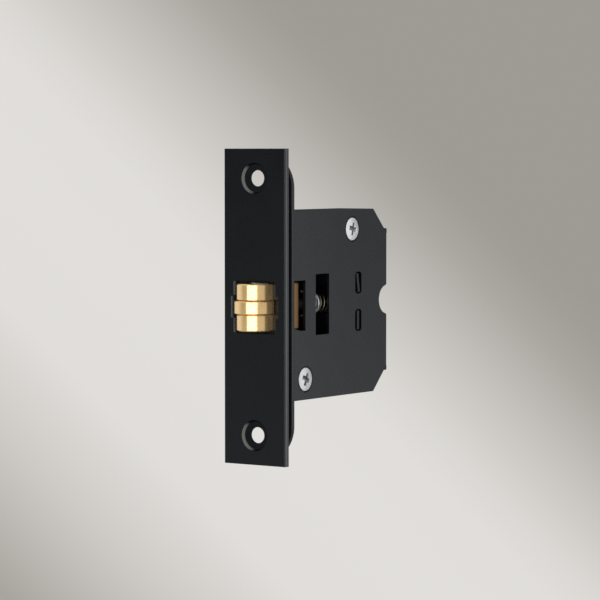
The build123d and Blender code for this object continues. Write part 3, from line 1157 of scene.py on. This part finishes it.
@dataclass
class Studio:
    """The camera, the lamps, the surroundings and the floor."""

    azimuth: float = 34.192
    elevation: float = 2.994
    distance: float = 0.954503
    shift_right: float = 0.015491
    shift_up: float = 0.002472
    pixels: float = 600.0
    focal_pixels: float = 2814.96
    sensor: float = 36.0
    clip: Pair = (0.01, 50.0)
    lamps: tuple[Lamp, ...] = (
        Lamp("front", azimuth=20.0, height=0.12, distance=1.30, width=1.62, tall=0.80, radiance=2.7),
        Lamp("side", azimuth=129.0, height=0.05, distance=0.38, width=0.20, tall=0.80, radiance=1.08),
        Lamp("top", azimuth=60.0, height=1.25, distance=0.60, width=0.90, tall=0.90, radiance=0.9),
    )
    floor_height: float = -0.50
    floor_radius: float = 2.5
    floor_thickness: float = 0.02
    floor_shares: tuple[float, ...] = (0.02, 0.35, 0.7, 1.0)
    floor_sides: int = 96
    paper_roughness: float = 0.8
    paper_clouds_per_metre: float = 3.0
    paper: Tones = ((0.60, 0.59, 0.56), (0.64, 0.63, 0.60))
    around: tuple[Pair, ...] = (
        (-90, 0.90), (-72, 0.85), (-54, 0.46), (-42, 0.02), (-14, 0.02), (-6, 0.39),
        (110, 0.36), (165, 0.30), (185, 0.45), (240, 0.50), (269, 0.90),
    )
    below: float = 0.90
    horizon: Pair = (0.01, -0.15)
    shade_grey: Colour = (0.342, 0.328, 0.296)
    band_grey: Colour = (0.757, 0.738, 0.710)
    band: tuple[Pair, ...] = (
        (-590, 0.12), (-440, 0.62), (-300, 0.98), (-150, 1.00), (-50, 0.98),
        (0, 0.88), (120, 0.45), (200, 0.15), (250, 0.04), (290, 0.00),
    )
    band_reach: float = 600.0
    backdrop_facing: Pair = (0.86, 0.92)
    least_ahead: float = 0.2

    def axes(self) -> tuple[Vector, Vector, Vector]:
        """The camera's directions.

        Returns:
            The directions to the right, up, and back towards the camera.
        """
        a, e = math.radians(self.azimuth), math.radians(self.elevation)
        back = Vector((math.sin(a) * math.cos(e), -math.cos(a) * math.cos(e), math.sin(e)))
        right = Vector((math.cos(a), math.sin(a), 0.0))
        return right, back.cross(right), back

    def build(self) -> None:
        """Set up everything round the object."""
        self._camera()
        for lamp in self.lamps:
            lamp.hang()
        self._floor()
        self._surroundings()
        bpy.context.scene.view_settings.view_transform = "Standard"
        LOG.info("the studio is set")

    def _camera(self) -> None:
        """Place the camera where the photograph was taken."""
        right, up, back = self.axes()
        data = bpy.data.cameras.new("camera")
        data.sensor_width = self.sensor
        data.sensor_fit = "HORIZONTAL"
        data.lens = self.focal_pixels / self.pixels * self.sensor
        data.clip_start, data.clip_end = self.clip
        camera = bpy.data.objects.new("camera", data)
        bpy.context.scene.collection.objects.link(camera)
        camera.location = back * self.distance + right * self.shift_right + up * self.shift_up
        camera.rotation_mode = "QUATERNION"
        camera.rotation_quaternion = (-back).to_track_quat("-Z", "Y")
        bpy.context.scene.camera = camera

    def _floor(self) -> None:
        """Lay a plain pale round floor well below the object."""
        middle = Vector((0.0, 0.0, self.floor_height))
        under = middle - Vector((0.0, 0.0, self.floor_thickness))
        rings = []
        for centre, share in [*((middle, share) for share in self.floor_shares), (under, 1.0)]:
            radii = [share * self.floor_radius] * self.floor_sides
            rings.append(ring(centre, (1.0, 0.0, 0.0), (0.0, 1.0, 0.0), radii))
        floor = rings_piece("floor", rings, (middle, under))
        material, graph, shader = start_material("floor_paper")
        clouds = graph.noise(graph.position(), self.paper_clouds_per_metre, 2.0)
        paper = graph.blend(clouds, *self.paper)
        graph.wire(shader, {"Base Color": paper, "Roughness": self.paper_roughness})
        dress(floor, material)

    def _surroundings(self) -> None:
        """Light the object from all round, with darker and lighter stretches, and paint the backdrop."""
        world = bpy.data.worlds.new("surroundings")
        world.use_nodes = True
        bpy.context.scene.world = world
        graph = Graph(world.node_tree)
        direction = graph.node("ShaderNodeTexCoord").outputs["Generated"]
        tone = self._tone(graph, direction)
        backdrop, facing = self._backdrop(graph, direction)
        path = graph.node("ShaderNodeLightPath").outputs
        mirrored = Term(graph, path["Is Glossy Ray"]) + Term(graph, path["Is Transmission Ray"])
        seen = (Term(graph, path["Is Camera Ray"]) + mirrored * facing).least(1.0)
        light = graph.node("ShaderNodeBackground", {"Color": graph.blend(seen, tone, backdrop)})
        graph.node("ShaderNodeOutputWorld", {"Surface": light.outputs["Background"]})

    def _tone(self, graph: Graph, direction: Socket) -> Socket:
        """The surroundings' brightness: by azimuth, and below the horizon.

        Azimuth 0 is in front of the faceplate and 90 in front of the cover.

        Args:
            graph: The world's graph.
            direction: The direction that is looked along.

        Returns:
            The brightness, as a grey.
        """
        wheel = graph.node("ShaderNodeTexGradient", {"Vector": direction}, gradient_type="RADIAL")
        stops = [((azimuth + 90) / 360, tone) for azimuth, tone in self.around]
        grey = graph.ramp(wheel.outputs["Fac"], stops)
        low = graph.parts_of(direction)[Axis.Z.value].step(*self.horizon)
        return graph.blend(low, grey, (self.below,) * 3)

    def _backdrop(self, graph: Graph, direction: Socket) -> tuple[Socket, Term]:
        """The grey backdrop: one soft light band across it, from the upper left to the lower right.

        Args:
            graph: The world's graph.
            direction: The direction that is looked along.

        Returns:
            The backdrop's colour, and 1 where a direction leads to it.
        """
        right, up, back = self.axes()
        ahead = graph.measure("DOT_PRODUCT", direction, tuple(-back))
        across = graph.measure("DOT_PRODUCT", direction, tuple(right + up))
        place = self.focal_pixels * across / ahead.most(self.least_ahead)
        reach = self.band_reach
        stops = [((at + reach) / (2 * reach), share) for at, share in self.band]
        lit = graph.parts_of(graph.ramp((place + reach) / (2 * reach), stops))[0]
        return graph.blend(lit, self.shade_grey, self.band_grey), ahead.step(*self.backdrop_facing)


def main() -> None:
    """Build and dress every sub-assembly, then the studio round them."""
    logging.basicConfig(level=logging.INFO, format="%(name)s: %(message)s")
    steps: list[Callable[[], None]] = [
        FrontPlates().dress,
        CaseShell().dress,
        CoverFixings().build,
        RollerBolt().dress,
        AdjusterStem().build,
        SpringSet().build,
        Studio().build,
    ]
    for step in steps:
        step()
    bpy.context.view_layer.update()


if __name__ == "__main__":
    main()
